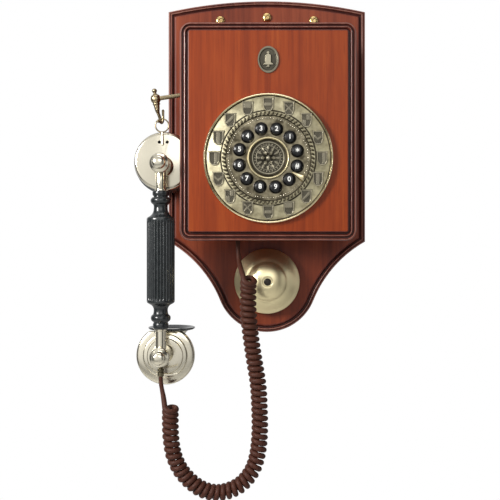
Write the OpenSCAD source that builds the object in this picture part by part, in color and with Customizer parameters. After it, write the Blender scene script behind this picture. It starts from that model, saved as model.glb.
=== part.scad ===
// Slimline wall telephone: wooden backboard and case, push-button dial, bell, hook, handset and curly cord.
// X is to the right, +Y is into the wall and +Z is up. The origin is on the board's back face,
// midway between its two wall screws.

/* [Backboard] */
// Half of the board's width
board_half = 103.5; // [98:0.5:110]
// Board thickness
board_t = 16; // [12:1:18]
// Height of the arched top above the wall screws
board_top = 62; // [58:1:66]
// Height of the top corners above the wall screws
board_shoulder = 50.6; // [46:0.2:54]
// Where the straight sides end, below the wall screws
board_waist = 191.6; // [188:0.2:194]
// Radius of the round lobe at the bottom
lobe_r = 53; // [50:1:56]
// Distance between the two wall screws
screw_span = 60; // [50:5:70]
// Radius of each wall screw hole
wall_hole_r = 2.6; // [2.2:0.1:3]

/* [Case and front panel] */
// Half of the case's width
case_half = 68; // [64:1:70]
// Case depth, from the board to the panel
case_depth = 49; // [46:1:54]
// Thickness of the case's walls
wall_t = 10; // [8:1:12]
// Half of the front panel's width
panel_half = 86.4; // [84:0.2:90]
// Panel thickness
panel_t = 12; // [10:1:14]
// Height of the panel's top edge
panel_top = 22.6; // [20:0.2:26]
// Depth of the panel's bottom edge below the wall screws
panel_low = 190.8; // [188:0.2:194]

/* [Dial] */
// Height of the dial's centre
dial_z = -111; // [-115:1:-105]
// Radius of the dial's outer ring
dial_r = 63.1; // [60:0.1:66]
// Radius of the circle of push buttons
button_circle = 28.9; // [28:0.1:30]
// Radius of a push button
button_r = 5.8; // [5.4:0.1:6]

/* [Bell] */
// Height of the bell's centre
bell_z = -232.3; // [-236:0.1:-230]
// Radius of the gong
gong_r = 34; // [32:0.5:36]

/* [Handset] */
// Sideways place of the handset
hand_x = -105; // [-107:0.5:-104]
// Depth of the handset's grip in front of the wall
hand_y = -72; // [-74:0.5:-70]
// Radius of the ear cap
ear_r = 31.6; // [30:0.2:33]
// Radius of the transmitter disc
mouth_r = 29.7; // [28:0.1:31]
// Radius of the grip
grip_r = 13.7; // [12:0.1:14]

/* [Cord] */
// Outside diameter of the curled cord
coil_d = 15.5; // [14:0.5:16]
// Diameter of the cord itself
wire_d = 4.5; // [4:0.1:5]

/* [Hidden] */
$fn = 72;
face = -board_t;                         // front of the board
panel_back = face - case_depth;          // back of the front panel
panel_face = panel_back - panel_t;       // front of the front panel
case_top = 16;
case_low = -172.4;
inner = case_half - wall_t;
dial_face = panel_face - 3;              // front of the dial's ring
plate_face = panel_face - 4;             // front of the dial's inner plate
ring_in = 41;                            // inner radius of the dial's ring
button_first = 44;                       // direction of the button 1, in degrees
button_pitch = 30;
hole_gap = 0.15;                         // slack round a button
ear_z = -110.5;
ear_knob_z = -116;
mouth_x = hand_x + 1.5;
mouth_z = -307;
mouth_knob_z = -303.6;
horn = [-98.4, -30];                     // the horn's upright axis
lip_z = -282.4;                          // underside of the horn's lip
pivot = [-40, -50, -37];                 // the hook lever's pivot
bulb = [-112.6, -50, -48];
crook = [-107.5, -46, -71.3];
peg_end = [-109.4, -55.6, -71.3];
ring_y = -51.5;
ring_hang = -74.95;
pin_r = 2;
striker_x = -12;
striker_top = -214;

// The curled stretch of the cord, hand-picked points
coil_route = [[-19.7, -66, -222], [-19.5, -66, -237], [-18.9, -66, -261], [-17.1, -66, -284],
    [-13.6, -66, -308], [-9.8, -67, -332], [-8.4, -67, -356], [-8.2, -68, -380], [-10.6, -68, -402],
    [-17, -69, -419], [-30, -70, -432], [-49, -70, -438], [-67, -71, -433], [-83, -71, -419],
    [-91.7, -72, -402], [-95, -72, -384], [-95.6, -72, -366], [-95.3, -72, -348]];
// The straight lead between the case and the coil
case_lead_route = [[-30, -50, -184], [-30, -51, -196], [-28, -56, -208], [-22, -64, -218],
    [-19.8, -66, -223]];
// The straight lead between the coil and the handset
hand_lead_route = [[-105, -72, -323.5], [-105, -72, -331], [-102, -72, -339.6], [-97.6, -72, -345.9]];

// Points along a circle, from one angle to another
function arc(cx, cy, r, a0, a1, n) = [for (i = [0 : n]) let (a = a0 + (a1 - a0) * i / n)
    [cx + r * cos(a), cy + r * sin(a)]];

// Extrudes an X-Z outline towards the room, starting at depth y
module outward(y, depth) {
    translate([0, y, 0]) rotate([90, 0, 0]) linear_extrude(depth) children();
}

// A disc whose axis points into the room
module disc(x, z, y, depth, r) {
    translate([x, y, z]) rotate([90, 0, 0]) cylinder(h = depth, r = r);
}

// Turns a profile of [radius, distance in front of the wall] points about an axis into the room
module turned_out(x, z, profile) {
    translate([x, 0, z]) rotate([90, 0, 0]) rotate_extrude() polygon(profile);
}

// Turns a profile of [radius, height] points about an upright axis
module turned_up(x, y, profile) {
    translate([x, y, 0]) rotate_extrude() polygon(profile);
}

// A rod between two points
module rod(a, b, r) {
    d = b - a;
    translate(a) rotate([0, acos(d[2] / norm(d)), atan2(d[1], d[0])]) cylinder(h = norm(d), r = r);
}

// A block from its lowest to its highest corner
module block(a, b) {
    translate(a) cube(b - a);
}

module rounded_rect(half, low, top, r) {
    polygon(concat(arc(half - r, top - r, r, 0, 90, 8), arc(r - half, top - r, r, 90, 180, 8),
        arc(r - half, low + r, r, 180, 270, 8), arc(half - r, low + r, r, 270, 360, 8)));
}

// The board's outline, drawn smaller by inset all round
module board_outline(inset) {
    rise = board_top - board_shoulder;
    arch_r = (board_half * board_half + rise * rise) / (2 * rise);
    lobe_z = -233.4;
    sweep = 22;
    waist_r = 125;
    cx = (lobe_r + waist_r) * cos(sweep);
    cz = lobe_z - (lobe_r + waist_r) * sin(sweep);
    r = waist_r + inset;
    start_a = 180 - asin(min(1, (-board_waist - cz) / r));
    w = board_half - inset;
    top_a = asin(w / (arch_r - inset));
    polygon(concat(
        arc(0, board_top - arch_r, arch_r - inset, 90 - top_a, 90 + top_a, 24),
        [[-w, -board_waist + inset / 2]],
        arc(-cx, cz, r, 180 - start_a, 180 - (180 - sweep), 16),
        arc(0, lobe_z, lobe_r - inset, 180 + sweep, 360 - sweep, 24),
        arc(cx, cz, r, 180 - sweep, start_a, 16),
        [[w, -board_waist + inset / 2]]));
}

module backboard() {
    color("saddlebrown") difference() {
        union() {
            outward(0, board_t - 3) board_outline(0);
            outward(3 - board_t, 3) board_outline(4);
        }
        for (x = [-screw_span / 2, screw_span / 2]) disc(x, 0, 1, board_t + 2, wall_hole_r);
        for (x = [-1, 1], z = [case_low + 20, case_top - 20]) disc(x * (inner - 7), z, 1, board_t + 2, 2.05);
        for (x = [-49, 0, 49]) disc(x, x == 0 ? 44 : 40.6, face + 10, 12, 2.05);
        disc(0, bell_z, face + 6, 10, 3.05);
        disc(striker_x, striker_top, face + 4, 6, 1.02);
    }
}

module board_screws() {
    color("darkgoldenrod") for (x = [-49, 0, 49]) translate([x, 0, x == 0 ? 44 : 40.6]) difference() {
        union() {
            rotate([90, 0, 0]) rotate_extrude()
                polygon([[0, 16], [5, 16], [4.6, 17.2], [3.4, 18.4], [0, 19]]);
            translate([0, face + 9, 0]) rotate([90, 0, 0]) cylinder(h = 9.5, r = 2);
        }
        rotate([0, 45, 0]) translate([-6, -20, -0.5]) cube([12, 2, 1]);
    }
}

module case_left() {
    color("sienna") difference() {
        block([-case_half, panel_back, case_low], [-inner, face, case_top]);
        block([-case_half - 1, -53.5, -47], [-inner + 1, -46.5, -31]);
    }
}

module case_right() {
    color("sienna") block([inner, panel_back, case_low], [case_half, face, case_top]);
}

module case_top() {
    color("sienna") block([-inner, panel_back, case_top - wall_t], [inner, face, case_top]);
}

module case_bottom() {
    color("sienna") difference() {
        block([-inner, panel_back, case_low], [inner, face, case_low + wall_t]);
        translate([-30, -50, case_low - 1]) cylinder(h = wall_t + 2, r = 4.05);
        block([23, -52, case_low - 1], [37, -40, case_low + wall_t + 1]);
    }
}

module corner_blocks() {
    color("burlywood") for (x = [-1, 1], z = [case_low + 20, case_top - 20]) difference() {
        translate([x * (inner - 7) - 7, panel_back, z - 7]) cube([14, case_depth, 14]);
        disc(x * (inner - 7), z, 1, -face + 26, 2.05);
        disc(x * (inner - 7), z, panel_back + 12, 14, 3.02);
    }
}

module case_screws() {
    color("silver") for (x = [-1, 1], z = [case_low + 20, case_top - 20])
        disc(x * (inner - 7), z, -0.5, 38, 2);
}

module panel_dowels() {
    color("burlywood") for (x = [-1, 1], z = [case_low + 20, case_top - 20])
        disc(x * (inner - 7), z, panel_back + 11, 17, 3);
}

module front_panel() {
    color("chocolate") difference() {
        union() {
            outward(panel_back, panel_t - 3) rounded_rect(panel_half, -panel_low, panel_top, 10);
            outward(panel_back - panel_t + 3, 3)
                rounded_rect(panel_half - 4, 4 - panel_low, panel_top - 4, 6);
        }
        disc(0, dial_z, panel_back + 1, panel_t + 2, 50);
        for (x = [-1, 1], z = [case_low + 20, case_top - 20])
            disc(x * (inner - 7), z, panel_back + 1, 8, 3.02);
        disc(0, -15, panel_face + 5, 6, 1.52);
    }
}

// A plain oval badge with a small bell in relief
module emblem() {
    color("gold") {
        translate([0, panel_face, -15]) rotate([90, 0, 0]) linear_extrude(1.8)
            polygon([for (a = [0 : 10 : 350]) [10.2 * cos(a), 13 * sin(a)]]);
        translate([0, panel_face - 1.8, -15]) rotate([90, 0, 0]) linear_extrude(1.2)
            polygon([[-6, -5], [6, -5], [4, -2], [3.4, 3], [1.6, 6], [-1.6, 6], [-3.4, 3], [-4, -2]]);
        disc(0, -15, panel_face + 4, 4, 1.5);
    }
}

module dial_ring() {
    color("darkkhaki") turned_out(0, dial_z, [[ring_in, -panel_face], [dial_r, -panel_face],
        [dial_r, 2.4 - dial_face], [dial_r - 0.9, 1 - dial_face + 0.6], [dial_r - 2, 1 - dial_face],
        [dial_r - 2.4, -dial_face], [ring_in, -dial_face]]);
}

module dial_shields() {
    shield = [[-5.6, 7], [5.6, 7], [5.6, -1], [4.2, -4.6], [0, -7.1], [-4.2, -4.6], [-5.6, -1]];
    color("gray") for (i = [0 : 15]) let (a = i * 22.5)
        translate([52.6 * cos(a), dial_face, dial_z + 52.6 * sin(a)]) rotate([90, 0, 0])
            linear_extrude(1.1) polygon(shield * 0.93);
}

module rope_ring() {
    color("dimgray") turned_out(0, dial_z, concat([[41.6, -dial_face]], [[44.6, -dial_face]],
        arc(43.1, -dial_face, 1.5, 20, 160, 8)));
}

// Where a push button's centre lies
function button_at(i) = let (a = button_first + i * button_pitch)
    [button_circle * cos(a), dial_z + button_circle * sin(a)];

module dial_plate() {
    color("gray") difference() {
        disc(0, dial_z, panel_face, 4, ring_in - 0.3);
        for (i = [0 : 11]) disc(button_at(i)[0], button_at(i)[1], panel_face + 1, 6, button_r + hole_gap);
    }
}

module push_button(i) {
    f = -panel_face;
    color("black") turned_out(button_at(i)[0], button_at(i)[1], [[0, f - 4.4], [3, f - 4.4], [3, f - 1.8],
        [6.8, f - 1.8], [6.8, f - 0.05], [button_r, f - 0.05], [button_r, f + 5.4], [5.2, f + 6.3],
        [3.6, f + 6.9], [0, f + 7.2]]);
}

module medallion_ring() {
    color("darkkhaki") turned_out(0, dial_z, [[16.9, -plate_face], [20.6, -plate_face],
        [20.2, 1.6 - plate_face],
        [19, 2.4 - plate_face], [17.6, 2 - plate_face]]);
}

module medallion() {
    color("gray") turned_out(0, dial_z, [[0, -plate_face], [16.6, -plate_face], [16.4, 1 - plate_face],
        [9, 1.4 - plate_face], [0, 1.8 - plate_face]]);
}

module finger_stop() {
    color("gold") translate([0, plate_face, dial_z]) rotate([90, 0, 0]) linear_extrude(3)
        rotate(-30.5) polygon([[27, -0.7], [33, -0.8], [40.4, -2.6], [40.4, 2.6], [33, 0.8], [27, 0.7]]);
}

module keypad_housing() {
    color("dimgray") turned_out(0, dial_z, [[0, -panel_back + 1], [49.6, -panel_back + 1],
        [49.6, -panel_face],
        [39, -panel_face], [39, -panel_face - 2], [46.6, -panel_face - 2], [46.6, -panel_back + 3],
        [0, -panel_back + 3]]);
}

module keypad_board() {
    color("darkgreen") disc(0, dial_z, panel_back - 3, 1.6, 46);
}

module keypad_mat() {
    color("lightgray") disc(0, dial_z, panel_back - 4.6, 1.3, 44);
}

// The gong's outer face, as [radius, distance in front of the wall]
gong_out = [[gong_r, 23], [gong_r - 0.4, 24.2], [31.5, 26.4], [28.4, 30.4], [25.4, 34.6], [22.6, 38],
    [21, 38.6], [20, 39.8], [18.6, 43], [15.6, 46.4], [11, 48.8], [6.6, 49.9], [4.9, 49.8],
    [4.9, 48.4], [2.2, 48.4]];
gong_in = [[2.2, 46.8], [6.6, 48.2], [10.6, 47.2], [14.6, 45.1], [17.2, 42.2], [18.6, 38.8], [20.6, 37],
    [21.8, 36.6], [24, 33.8], [27, 29.6], [30.2, 25.4], [32, 23]];

module bell_gong() {
    color("darkkhaki") turned_out(0, bell_z, concat(gong_out, gong_in));
}

module bell_post() {
    color("silver") difference() {
        union() {
            disc(0, bell_z, face + 6, 6, 3);
            disc(0, bell_z, face, 30.8, 4);
        }
        disc(0, bell_z, -36, 12, 1.95);
    }
}

module bell_screw() {
    color("dimgray") {
        disc(0, bell_z, -37, 11.4, 1.9);
        turned_out(0, bell_z, [[0, 48.4], [3.8, 48.4], [3.6, 49.4], [2.6, 50], [0, 50.2]]);
    }
}

module ringer_frame() {
    color("silver") difference() {
        union() {
            block([-18, face - 1.5, -219], [14, face, -207]);
            disc(striker_x, striker_top, face, 3.4, 3);
            block([0, face - 3, -216.5], [6, face - 1.5, -209.5]);
        }
        disc(striker_x, striker_top, face + 1, 8, 1.02);
    }
}

module ringer_coil() {
    color("orangered") translate([-4, -23.6, -213]) rotate([0, 90, 0]) cylinder(h = 15, r = 4.5);
}

module bell_striker() {
    color("darkgoldenrod") {
        disc(striker_x, striker_top, face + 3, 10, 0.97);
        disc(striker_x, striker_top, face - 3.6, 3.4, 2.6);
        rod([striker_x, -21.4, striker_top], [striker_x, -21.4, -254], 1);
        translate([striker_x, -21.4, -255.5]) sphere(r = 2.8, $fn = 48);
        block([striker_x - 5, -23, striker_top - 1.4], [striker_x + 5, -20, striker_top + 1.4]);
    }
}

module hook_arm() {
    slant = atan2(bulb[2] - pivot[2], bulb[0] - pivot[0]) - 180;
    color("darkkhaki") difference() {
        union() {
            rod(pivot, bulb, 1.75);
            translate([pivot[0], -46, pivot[2]]) rotate([90, 0, 0]) cylinder(h = 6, r = 5);
            rod(pivot, [pivot[0] + 8.5, pivot[1], pivot[2] + 1.3], 1.4);
            translate(bulb) sphere(r = 4.3, $fn = 48);
            translate(bulb) rotate([0, -slant, 0]) rotate_extrude() polygon([[0, 0], [1.6, 4], [1.4, 5.4],
                [2.2, 7], [2.1, 8.6], [1, 10], [0, 10.4]]);
            rod(bulb, [-111.5, -49.5, -54.5], 2.9);
            rod([-111.5, -49.5, -54.5], [-110.6, -48.4, -60], 2.2);
            rod([-110.6, -48.4, -60], [-109, -46, -67.5], 1.5);
            translate([-110.6, -48.4, -60]) sphere(r = 2.35, $fn = 32);
            translate([-109, -46, -67.5]) sphere(r = 1.7, $fn = 32);
            rod([-109, -46, -67.5], crook, 1.5);
            translate(crook) sphere(r = 1.75, $fn = 32);
            rod(crook, [-105.6, -45.6, -66.5], 1.2);
            rod([-105.6, -45.6, -66.5], [-105.8, -44.6, -58.5], 1.1);
            translate([-105.6, -45.6, -66.5]) sphere(r = 1.4, $fn = 32);
            translate([-105.8, -44.6, -58.5]) sphere(r = 1.4, $fn = 32);
            rod(crook, peg_end, 1.3);
            translate(peg_end) sphere(r = 1.6, $fn = 32);
        }
        disc(pivot[0], pivot[2], -45, 8, pin_r + 0.05);
    }
}

module hook_bracket() {
    color("silver") difference() {
        union() {
            block([-29, -57, -45], [-27, face, -29]);
            block([-45, -45, -43], [-29, -43, -31]);
            block([-45, -57, -43], [-29, -55, -31]);
            block([-27, face - 2, -45], [-13, face, -29]);
        }
        disc(pivot[0], pivot[2], -42, 16, pin_r + 0.02);
    }
}

module hook_pivot_pin() {
    color("gray") disc(pivot[0], pivot[2], -41.5, 17, pin_r);
}

module hook_spring() {
    color("lightgray") for (i = [0 : 2]) translate([pivot[0], -52.8 - i * 0.9, pivot[2]]) rotate([90, 0, 0])
        rotate_extrude() translate([3.2, 0]) circle(r = 0.35, $fn = 24);
}

module hook_switch() {
    color("black") block([-38, -53, -52], [-29, -47, -43]);
}

// The circuit board with its pillars, transformer and capacitors
module main_circuit_board() {
    color("darkgreen") {
        block([-20, -25.6, -142], [42, -24, -60]);
        for (x = [-14, 36], z = [-136, -66]) disc(x, z, face, 8, 3);
        block([16, -45, -84], [40, -25.6, -64]);
        for (x = [-8, 8]) disc(x, -122, -25.6, 16, 6);
    }
}

module line_jack() {
    color("black") difference() {
        block([23, -52, case_low], [37, -40, case_low + 15]);
        block([25, -50, case_low - 1], [35, -42, case_low + 11]);
    }
}

module ear_cap() {
    color("black") difference() {
        turned_out(hand_x, ear_z, [[0, 23], [14, 22.4], [24, 20.4], [29, 20], [31, 21.2], [ear_r, 24],
            [ear_r, 31], [30.6, 33.4], [30.6, 42], [27.6, 42], [27.6, 27], [0, 27]]);
        disc(hand_x, ear_z, -18, 12, 1.6);
        for (a = [0 : 60 : 300]) disc(hand_x + 8 * cos(a), ear_z + 8 * sin(a), -18, 12, 1.6);
    }
}

module ear_cover() {
    color("darkkhaki") difference() {
        turned_out(hand_x, ear_z, [[0, 47], [24, 46], [26.4, 42], [30.4, 42], [29.8, 44.6], [26.6, 48.6],
            [23, 50], [0, 50]]);
        for (x = [-4, 4]) disc(hand_x + x, -91.4, -44, 10, 1.6);
    }
}

module receiver_capsule() {
    color("dimgray") disc(hand_x, ear_z, -29, 12.5, 26);
}

module hanging_ring() {
    color("darkkhaki") {
        translate([-106, ring_y, ring_hang]) rotate([90, 0, 0])
            rotate_extrude() translate([6.65, 0]) circle(r = 0.7, $fn = 24);
        rod([-106, ring_y, ring_hang - 6.2], [-105.4, ring_y, -94], 1.4);
    }
}

// Both bosses with their knobs, and the upright stems and rod that join them through the grip
module handset_frame() {
    boss_profile = [[0, 50.1], [10.4, 50.1], [9.6, 52], [8.7, 54], [8.7, 82], [9.4, 83.4], [9.4, 85.4],
        [8.2, 87],
        [6.5, 88], [6.5, 91.4], [5.6, 94], [3, 95.4], [0, 95.7]];
    color("darkkhaki") {
        turned_out(hand_x, ear_knob_z, boss_profile);
        turned_out(hand_x, mouth_knob_z, [for (p = boss_profile) [p[0], p[1]]]);
        turned_up(hand_x, hand_y, [[0, -300], [5.2, -300], [5.2, -277.4], [3, -277.4], [3, -141.9],
            [4.9, -141.9],
            [4.9, -118], [0, -118]]);
        turned_up(hand_x, hand_y, [[0, -310], [3.2, -310], [3.2, -319], [2.5, -319.4], [0, -319.4]]);
    }
}

module handset_grip() {
    color("black") turned_up(hand_x, hand_y, [[3.05, -142], [7.2, -142], [8.1, -143], [8.1, -146.4],
        [6.8, -147.6],
        [9, -149], [10, -151.7], [9, -154.4], [7, -156.4], [7, -160.9], [8.4, -164.6], [12.6, -168],
        [grip_r, -169.2], [grip_r, -250.9], [12.4, -252.2], [8, -254.6], [6.9, -258.7], [7.6, -262.4],
        [9.2, -264], [9.8, -266.5], [9, -269], [6.8, -270.4], [7.6, -271.6], [7.6, -275.6], [6.6, -277.3],
        [3.05, -277.3]]);
}

module mouth_disc() {
    color("darkkhaki") difference() {
        union() {
            difference() {
                turned_out(mouth_x, mouth_z, [[0, 50], [8, 50], [17, 49.4], [18, 47.4], [21, 47.2],
                    [22, 45.4], [28, 44.4], [mouth_r, 43], [mouth_r, 40.6], [27, 39], [0, 38]]);
                block([-140, -60, lip_z], [-60, -30, lip_z + 8]);
            }
            translate([horn[0], -30, -300]) rotate([90, 0, 0]) cylinder(h = 9, r = 11);
            turned_up(horn[0], horn[1], [[0, -312], [7, -311], [10, -308], [11.4, -303], [11.4, -294],
                [13, -288], [17, lip_z - 0.2], [0, lip_z - 0.2]]);
        }
        turned_up(horn[0], horn[1], [[0, -300], [8.4, -300], [9, -293], [10.4, -288], [14, lip_z],
            [0, lip_z]]);
        disc(hand_x, mouth_knob_z, -49.3, 4, 10.5);
        disc(mouth_x, mouth_z, -41, 6, 8.05);
    }
}

module microphone_capsule() {
    color("dimgray") disc(mouth_x, mouth_z, -41, 6, 8);
}

module horn_lip() {
    color("black") turned_up(horn[0], horn[1], [[14, lip_z + 0.1], [17, lip_z + 0.1],
        [21, lip_z + 0.8], [23.6, lip_z + 1.6], [24, lip_z + 2.8], [23.4, lip_z + 3.4],
        [20, lip_z + 2.6], [16, lip_z + 1.2]]);
}

module cord_saddle() {
    color("darkkhaki") {
        translate([hand_x, hand_y, -323.4]) cylinder(h = 4, r = 3.4);
        block([hand_x - 2, hand_y - 1.5, -322.2], [hand_x + 17, hand_y + 1.5, -320.4]);
    }
}

module cord_gland() {
    color("black") difference() {
        turned_up(-30, -50, [[0, case_low - 12], [3.2, case_low - 12], [4.4, case_low - 1.6],
            [7, case_low - 1.6],
            [7, case_low], [4, case_low], [4, case_low + wall_t + 2], [0, case_low + wall_t + 2]]);
        translate([-30, -50, case_low - 14]) cylinder(h = wall_t + 30, r = wire_d / 2 + 0.1);
    }
}

// Catmull-Rom curve through the route's points, with n steps between two of them
function pick(p, i) = p[max(0, min(len(p) - 1, i))];
function curve(p, n) = concat([for (i = [0 : len(p) - 2], k = [0 : n - 1])
    let (t = k / n, a = pick(p, i - 1),
    b = pick(p, i), c = pick(p, i + 1), d = pick(p, i + 2))
    0.5 * (2 * b + (c - a) * t + (2 * a - 5 * b + 4 * c - d) * t * t + (3 * b - a - 3 * c + d) * t * t * t)],
    [p[len(p) - 1]]);

// A tube of given radius and sides swept along a route that stays close to a plane facing the room
module swept(route, r, sides, steps) {
    p = curve(route, steps);
    m = len(p);
    rings = [for (i = [0 : m - 1]) let (t0 = pick(p, i + 1) - pick(p, i - 1), t = t0 / norm(t0),
        u0 = cross(t, [0, 1, 0]), u = u0 / norm(u0), v = cross(u, t))
        for (k = [0 : sides - 1]) p[i] + r * (u * cos(360 * k / sides) + v * sin(360 * k / sides))];
    walls = [for (i = [0 : m - 2], k = [0 : sides - 1]) let (j = (k + 1) % sides)
        [i * sides + k, i * sides + j, (i + 1) * sides + j, (i + 1) * sides + k]];
    polyhedron(points = rings, faces = concat([[for (k = [0 : sides - 1]) sides - 1 - k]],
        [[for (k = [0 : sides - 1]) (m - 1) * sides + k]], walls), convexity = 6);
}

module cord_case_lead() {
    color("saddlebrown") swept(case_lead_route, wire_d / 2, 8, 2);
}

module cord_coil() {
    color("saddlebrown") swept(coil_route, coil_d / 2, 12, 2);
}

module cord_handset_lead() {
    color("saddlebrown") swept(hand_lead_route, wire_d / 2, 8, 2);
}

backboard();
board_screws();
case_left();
case_right();
case_top();
case_bottom();
corner_blocks();
case_screws();
panel_dowels();
front_panel();
emblem();
dial_ring();
dial_shields();
rope_ring();
dial_plate();
medallion_ring();
medallion();
finger_stop();
keypad_housing();
keypad_board();
keypad_mat();
push_button(0);  // button_1
push_button(1);  // button_2
push_button(2);  // button_3
push_button(3);  // button_4
push_button(4);  // button_5
push_button(5);  // button_6
push_button(6);  // button_7
push_button(7);  // button_8
push_button(8);  // button_9
push_button(9);  // button_0
push_button(10);  // button_hash
push_button(11);  // button_star
bell_gong();
bell_post();
bell_screw();
ringer_frame();
ringer_coil();
bell_striker();
hook_arm();
hook_bracket();
hook_pivot_pin();
hook_spring();
hook_switch();
main_circuit_board();
line_jack();
ear_cap();
ear_cover();
receiver_capsule();
hanging_ring();
handset_frame();
handset_grip();
mouth_disc();
microphone_capsule();
horn_lip();
cord_saddle();
cord_gland();
cord_case_lead();
cord_coil();
cord_handset_lead();
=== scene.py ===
# %% [markdown]
# # A wooden wall telephone with a push-button dial
# The CAD model gives the frame: every board, shaft and button has its place and its joint.
# This lesson dresses that frame. Some CAD pieces only need a finish, and others are made again
# with mouldings, flutes, relief or curls that would be slow to draw as solids.

# %% Load the frame
import math

import bmesh
import bpy
from mathutils import Matrix, Vector


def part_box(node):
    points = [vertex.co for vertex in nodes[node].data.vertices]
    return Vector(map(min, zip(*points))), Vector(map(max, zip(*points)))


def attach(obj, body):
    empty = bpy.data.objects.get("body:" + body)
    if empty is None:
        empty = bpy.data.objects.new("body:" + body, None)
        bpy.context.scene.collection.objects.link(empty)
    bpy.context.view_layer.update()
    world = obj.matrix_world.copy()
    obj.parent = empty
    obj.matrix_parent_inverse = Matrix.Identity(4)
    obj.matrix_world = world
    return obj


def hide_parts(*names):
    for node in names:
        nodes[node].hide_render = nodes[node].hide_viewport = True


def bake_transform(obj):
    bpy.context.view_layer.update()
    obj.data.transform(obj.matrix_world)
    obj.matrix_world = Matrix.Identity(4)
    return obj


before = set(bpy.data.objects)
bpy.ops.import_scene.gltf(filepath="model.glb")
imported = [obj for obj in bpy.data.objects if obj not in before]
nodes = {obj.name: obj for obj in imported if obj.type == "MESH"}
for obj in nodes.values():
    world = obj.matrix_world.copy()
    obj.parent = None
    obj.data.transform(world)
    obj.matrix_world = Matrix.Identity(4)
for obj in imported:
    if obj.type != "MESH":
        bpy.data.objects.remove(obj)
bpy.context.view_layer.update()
scene = bpy.context.scene
MM = 0.001
TAU = 2 * math.pi


def span(node):
    """Lowest and highest corner of a CAD node, in millimetres."""
    low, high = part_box(node)
    return low / MM, high / MM


def middle(node):
    """The centre of a CAD node's box, in millimetres."""
    low, high = span(node)
    return (low + high) / 2


# %% [markdown]
# ## The camera
# The phone hangs high on a wall, and the camera looks straight at the wall from a little below
# its middle. A long lens keeps the board's sides parallel. The camera comes first, because the
# curly cord has to stay in its view.

# %% Camera
LENS = 56.45
CAMERA_AT = (-0.0177, -0.839, -0.200)
camera_data = bpy.data.cameras.new("camera")
camera_data.lens = LENS
camera_data.sensor_width = 36
camera_data.clip_start = 0.01
camera = bpy.data.objects.new("camera", camera_data)
camera.location = CAMERA_AT
camera.rotation_euler = (math.pi / 2, 0, 0)
scene.collection.objects.link(camera)
scene.camera = camera
scene.view_settings.view_transform = "Standard"
print("camera at", tuple(camera.location))

# %% [markdown]
# ## Node helpers for finishes
# A finish is a node tree on the Principled shader. The helpers below keep each finish short:
# one adds a node and sets its inputs, one makes a colour ramp, and one starts a material whose
# pattern sits in the piece's own space, so that it moves with the piece.


# %% Material helpers
def linear(red, green, blue):
    """A colour given as 0 to 255, turned into the linear values that shaders use."""
    return tuple((c / 255) ** 2.2 for c in (red, green, blue)) + (1.0,)


def add(tree, kind, values=None, **settings):
    node = tree.nodes.new(kind)
    for name, value in settings.items():
        setattr(node, name, value)
    for name, value in (values or {}).items():
        if isinstance(value, bpy.types.NodeSocket):
            tree.links.new(value, node.inputs[name])
        else:
            node.inputs[name].default_value = value
    return node


def ramp(tree, factor, stops):
    node = add(tree, "ShaderNodeValToRGB", {"Fac": factor})
    steps = node.color_ramp.elements
    while len(steps) < len(stops):
        steps.new(0.5)
    for stop, (position, colour) in zip(steps, stops):
        stop.position = position
        stop.color = colour
    return node.outputs["Color"]


def mix(tree, first, second, factor, blend="MIX"):
    return add(tree, "ShaderNodeMix", {6: first, 7: second, 0: factor}, data_type="RGBA",
               blend_type=blend).outputs[2]


def calculate(tree, operation, first, second):
    return add(tree, "ShaderNodeMath", {0: first, 1: second}, operation=operation).outputs[0]


def ranged(tree, value, low, high, from_low=0.0):
    """Spreads a value that runs from from_low to 1 between low and high."""
    return add(tree, "ShaderNodeMapRange", {"Value": value, "From Min": from_low,
                                            "To Min": low, "To Max": high}).outputs[0]


def start(name, **shader):
    """A new material, its Principled shader and its pattern coordinates."""
    material = bpy.data.materials.new(name)
    material.use_nodes = True
    tree = material.node_tree
    principled = tree.nodes["Principled BSDF"]
    for key, value in shader.items():
        principled.inputs[key.replace("_", " ")].default_value = value
    space = add(tree, "ShaderNodeTexCoord").outputs["Object"]
    return material, tree, principled, space


def noise(tree, space, scale, detail=3.0, roughness=0.5, stretch=(1, 1, 1)):
    mapped = add(tree, "ShaderNodeMapping", {"Vector": space, "Scale": stretch}).outputs[0]
    return add(tree, "ShaderNodeTexNoise", {"Vector": mapped, "Scale": scale, "Detail": detail,
                                            "Roughness": roughness}).outputs["Fac"]


def bump(tree, principled, height, strength, distance):
    made = add(tree, "ShaderNodeBump", {"Height": height, "Strength": strength, "Distance": distance})
    tree.links.new(made.outputs[0], principled.inputs["Normal"])


def dress(tree, principled, colour, grain, smoothest, roughest, strength, depth):
    """Colour, a roughness that varies with the grain, and fine bumps from the same grain."""
    tree.links.new(colour, principled.inputs["Base Color"])
    tree.links.new(ranged(tree, grain, smoothest, roughest), principled.inputs["Roughness"])
    bump(tree, principled, grain, strength, depth)
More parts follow.
